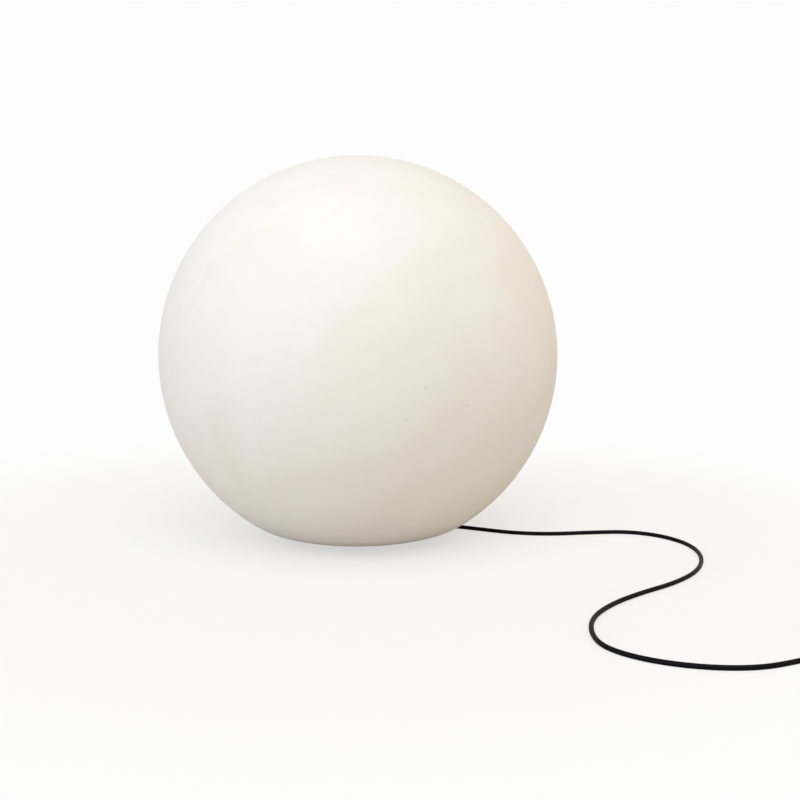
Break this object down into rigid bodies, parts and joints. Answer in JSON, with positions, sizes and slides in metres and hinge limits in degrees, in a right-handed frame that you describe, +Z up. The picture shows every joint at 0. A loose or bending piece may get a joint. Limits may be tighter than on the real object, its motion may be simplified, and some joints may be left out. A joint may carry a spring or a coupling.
{
  "type": "garden globe light",
  "caption": "Opal garden globe light with a flat bottom on a low base with a screw-in lamp inside, and a black cord with plug from under the base.",
  "frame": {"origin": "on the ground, under the middle of the globe", "axes": "+Z up along the globe's axis, +X towards the side where the cord leaves the base"},
  "size_m": [0.8989, 1.0453, 0.5743],
  "materials": {
    "globe_polyethylene": "satin, rotationally moulded, opal",
    "insert_brass": "turned and knurled",
    "seal_rubber": "matt",
    "base_polypropylene": "fine moulded grain",
    "foot_rubber": "matt",
    "stainless_screw": "turned",
    "cover_polypropylene": "fine moulded grain",
    "terminal_polyamide": "natural polyamide",
    "zinc_screw": "zinc plated",
    "core_insulation": "extruded",
    "lead_silicone": "extruded silicone",
    "gland_polyamide": "moulded",
    "bridge_polyamide": "glass-filled moulding",
    "zinc_steel": "zinc plated",
    "holder_thermoset": "pressed thermoset",
    "holder_steatite": "unglazed",
    "sleeve_brass": "nickel-flashed, spun",
    "contact_bronze": "stamped",
    "tip_solder": "soldered",
    "tip_glass": "moulded black",
    "cap_nickel": "rolled, nickel plated",
    "lamp_housing_plastic": "satin moulded",
    "driver_laminate": "lacquered",
    "board_aluminium": "white solder mask",
    "led_phosphor": "silicone",
    "lamp_polycarbonate": "satin opal",
    "cord_rubber": "extruded, slight sheen",
    "tie_polyamide": "moulded",
    "plug_rubber": "moulded",
    "pin_nickel": "nickel plated"
  },
  "bodies": {
    "base": {"globe_seal": "seal_rubber", "base_plate": "base_polypropylene", "base_feet": "foot_rubber", "shell_screws": "stainless_screw", "cover_seal": "seal_rubber", "wiring_cover": "cover_polypropylene", "cover_screws": "stainless_screw", "cover_grommet": "seal_rubber", "terminal_block": "terminal_polyamide", "terminal_barrels": "insert_brass", "terminal_screws": "zinc_screw", "mains_cores": "core_insulation", "lamp_leads": "lead_silicone", "gland_body": "gland_polyamide", "gland_washer": "seal_rubber", "gland_insert": "seal_rubber", "gland_nut": "gland_polyamide", "holder_bridge": "bridge_polyamide", "bridge_screws": "stainless_screw", "holder_nipple": "zinc_steel", "nipple_nut": "zinc_steel", "holder_dome": "holder_thermoset", "holder_skirt": "holder_thermoset", "holder_core": "holder_steatite", "holder_sleeve": "sleeve_brass", "centre_contact": "contact_bronze", "side_contact": "contact_bronze", "cord_held": "cord_rubber", "cord_tube": "cord_rubber", "cord_coil": "cord_rubber", "cord_ties": "tie_polyamide", "cord_tail": "cord_rubber", "plug_body": "plug_rubber", "plug_pins": "pin_nickel"},
    "globe": {"globe_shell": "globe_polyethylene", "globe_inserts": "insert_brass"},
    "lamp_contact": {"bulb_tip": "tip_solder"},
    "lamp": {"bulb_insulator": "tip_glass", "bulb_cap": "cap_nickel", "bulb_housing": "lamp_housing_plastic", "bulb_driver": "driver_laminate", "bulb_board": "board_aluminium", "bulb_leds": "led_phosphor", "bulb_diffuser": "lamp_polycarbonate"}
  },
  "joints": [
    {"name": "globe_lift", "type": "slide", "parent": "base", "child": "globe", "axis": [0, 0, 1], "range_m": [0, 0.22]},
    {"name": "bulb_rise", "type": "slide", "parent": "base", "child": "lamp_contact", "axis": [0, 0, 1], "range_m": [0, 0.01452]},
    {"name": "bulb_turn", "type": "hinge", "parent": "lamp_contact", "child": "lamp", "pos_m": [0, 0, 0.1], "axis": [0, 0, 1], "range_deg": [0, 1440]}
  ],
  "couplings": [
    {"joint": "bulb_turn", "follows": "bulb_rise", "rad_per_m": 1731.4}
  ]
}
